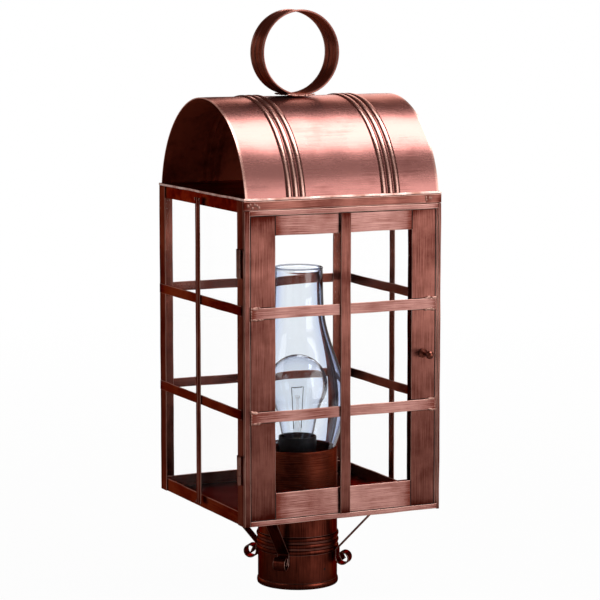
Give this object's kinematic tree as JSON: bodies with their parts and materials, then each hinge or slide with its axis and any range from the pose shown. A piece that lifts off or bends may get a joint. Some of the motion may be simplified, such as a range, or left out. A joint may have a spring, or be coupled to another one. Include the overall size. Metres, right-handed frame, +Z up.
{
  "type": "post lantern",
  "caption": "Post-top copper lantern with a glazed square cage, hinged door, open barrel roof, lifting ring, glass chimney and clear bulb on a tubular post fitter.",
  "frame": {"origin": "centre of the underside of the plate that the end of the post bears on, on the axis of the post fitter", "axes": "+Z up along the post, -Y out of the door, +X to the right of the door seen from outside"},
  "size_m": [0.2181, 0.2315, 0.5743],
  "materials": {
    "brushed_copper": "brushed antique copper",
    "dark_copper": "dark antique copper",
    "yellow_brass": "bright",
    "pane_glass": "clear flat",
    "chimney_glass": "clear, faintly blue",
    "bulb_glass": "clear",
    "black_phenolic": "moulded satin",
    "tungsten": "drawn wire",
    "black_rubber": "matt"
  },
  "bodies": {
    "lantern_body": {"back_glass": "pane_glass", "back_lower_crossbar": "brushed_copper", "back_upper_crossbar": "brushed_copper", "back_upright": "brushed_copper", "corner_post_back_left": "brushed_copper", "corner_post_back_right": "brushed_copper", "corner_post_front_left": "brushed_copper", "corner_post_front_right": "brushed_copper", "fitter_tube": "brushed_copper", "floor_pan": "brushed_copper", "front_header": "brushed_copper", "lamp_socket": "black_phenolic", "latch_jamb": "brushed_copper", "left_glass": "pane_glass", "left_lower_crossbar": "brushed_copper", "left_upper_crossbar": "brushed_copper", "left_upright": "brushed_copper", "lower_hinge_pin": "dark_copper", "lower_hinge_post_leaf": "brushed_copper", "post_stop": "brushed_copper", "right_glass": "pane_glass", "right_lower_crossbar": "brushed_copper", "right_upper_crossbar": "brushed_copper", "right_upright": "brushed_copper", "ring_handle": "brushed_copper", "roof_barrel": "brushed_copper", "socket_contact": "yellow_brass", "socket_cup": "brushed_copper", "socket_screw_shell": "yellow_brass", "strut_back_left": "brushed_copper", "strut_back_right": "brushed_copper", "strut_front_left": "brushed_copper", "strut_front_right": "brushed_copper", "top_pan": "brushed_copper", "upper_hinge_pin": "dark_copper", "upper_hinge_post_leaf": "brushed_copper", "wire_grommet": "black_rubber"},
    "door": {"door_hinge_stile": "brushed_copper", "door_latch_stile": "brushed_copper", "door_top_edge": "brushed_copper", "door_bottom_edge": "brushed_copper", "door_top_rail": "brushed_copper", "door_bottom_rail": "brushed_copper", "door_centre_bar": "brushed_copper", "door_upper_crossbar": "brushed_copper", "door_lower_crossbar": "brushed_copper", "door_glass": "pane_glass", "upper_hinge_door_leaf": "brushed_copper", "lower_hinge_door_leaf": "brushed_copper"},
    "latch": {"door_knob": "dark_copper", "latch_tongue": "brushed_copper"},
    "chimney": {"glass_chimney": "chimney_glass"},
    "bulb": {"bulb_glass": "bulb_glass", "bulb_base": "yellow_brass", "bulb_stem": "bulb_glass", "filament": "tungsten"}
  },
  "joints": [
    {"name": "door_hinge", "type": "hinge", "parent": "lantern_body", "child": "door", "pos_m": [-0.1077, -0.0985, 0.0015], "axis": [0, 0, -1], "range_deg": [0, 120]},
    {"name": "latch_turn", "type": "hinge", "parent": "door", "child": "latch", "pos_m": [0.0855, -0.105, 0.158], "axis": [0, -1, 0], "range_deg": [0, 90]},
    {"name": "chimney_lift", "type": "slide", "parent": "lantern_body", "child": "chimney", "axis": [0, 0, 1], "range_m": [0, 0.04]},
    {"name": "bulb_turn", "type": "hinge", "parent": "lantern_body", "child": "bulb", "pos_m": [0, 0, 0.0661], "axis": [0, 0, 1], "continuous": true}
  ]
}
